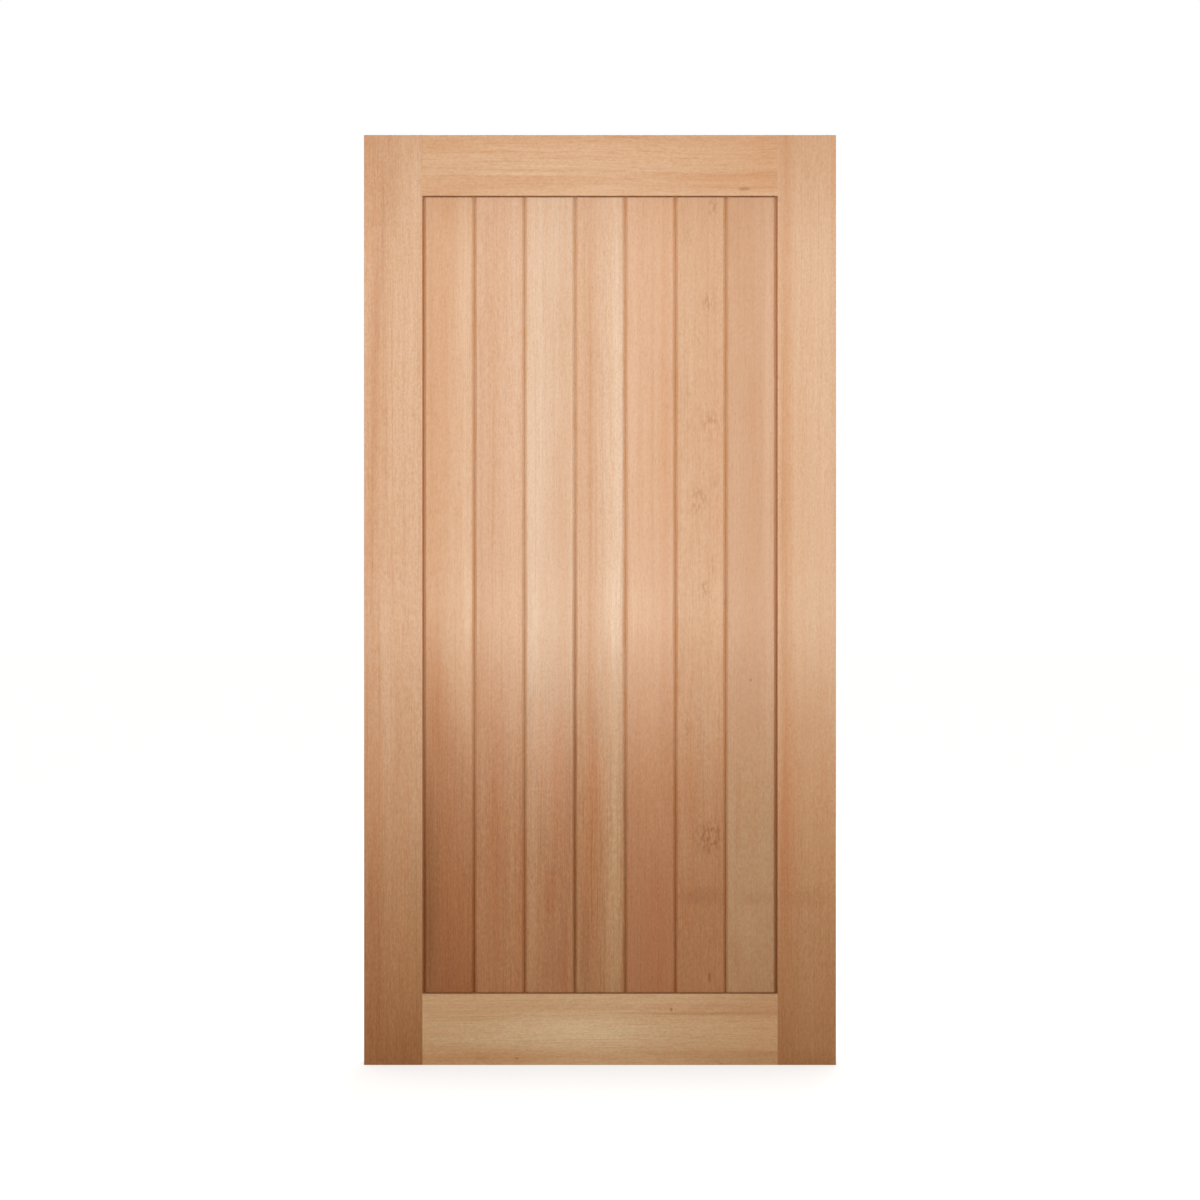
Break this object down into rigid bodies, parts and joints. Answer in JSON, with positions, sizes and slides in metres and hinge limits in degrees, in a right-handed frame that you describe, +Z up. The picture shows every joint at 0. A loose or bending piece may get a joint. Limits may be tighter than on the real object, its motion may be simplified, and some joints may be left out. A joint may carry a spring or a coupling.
{
  "type": "framed plank door leaf",
  "caption": "Framed timber door leaf with V-jointed vertical planks set in a grooved frame of stiles and rails, hung by its hinge edge.",
  "frame": {"origin": "on the hinge edge of the leaf, at its foot, in the middle of its thickness", "axes": "+Z up, +X from the hinge edge to the lock edge, -Y out of the front face; both faces are alike"},
  "size_m": [1.066, 0.044, 2.1],
  "materials": {
    "frame_timber": "planed and sanded, unfinished, straight grain",
    "pale_rail_timber": "planed and sanded, unfinished, paler than the rest",
    "plank_timber": "planed and sanded, unfinished, tone varies from plank to plank",
    "wedge_timber": "sawn wedge, trimmed flush"
  },
  "bodies": {
    "root": {"hinge_stile": "frame_timber", "lock_stile": "frame_timber", "top_rail": "frame_timber", "bottom_rail": "pale_rail_timber", "plank_1": "plank_timber", "plank_2": "plank_timber", "plank_3": "plank_timber", "plank_4": "plank_timber", "plank_5": "plank_timber", "plank_6": "plank_timber", "plank_7": "plank_timber", "bottom_lower_wedge_hinge_side": "wedge_timber", "bottom_lower_wedge_lock_side": "wedge_timber", "bottom_upper_wedge_hinge_side": "wedge_timber", "bottom_upper_wedge_lock_side": "wedge_timber", "top_lower_wedge_hinge_side": "wedge_timber", "top_lower_wedge_lock_side": "wedge_timber", "top_upper_wedge_hinge_side": "wedge_timber", "top_upper_wedge_lock_side": "wedge_timber"}
  },
  "joints": []
}
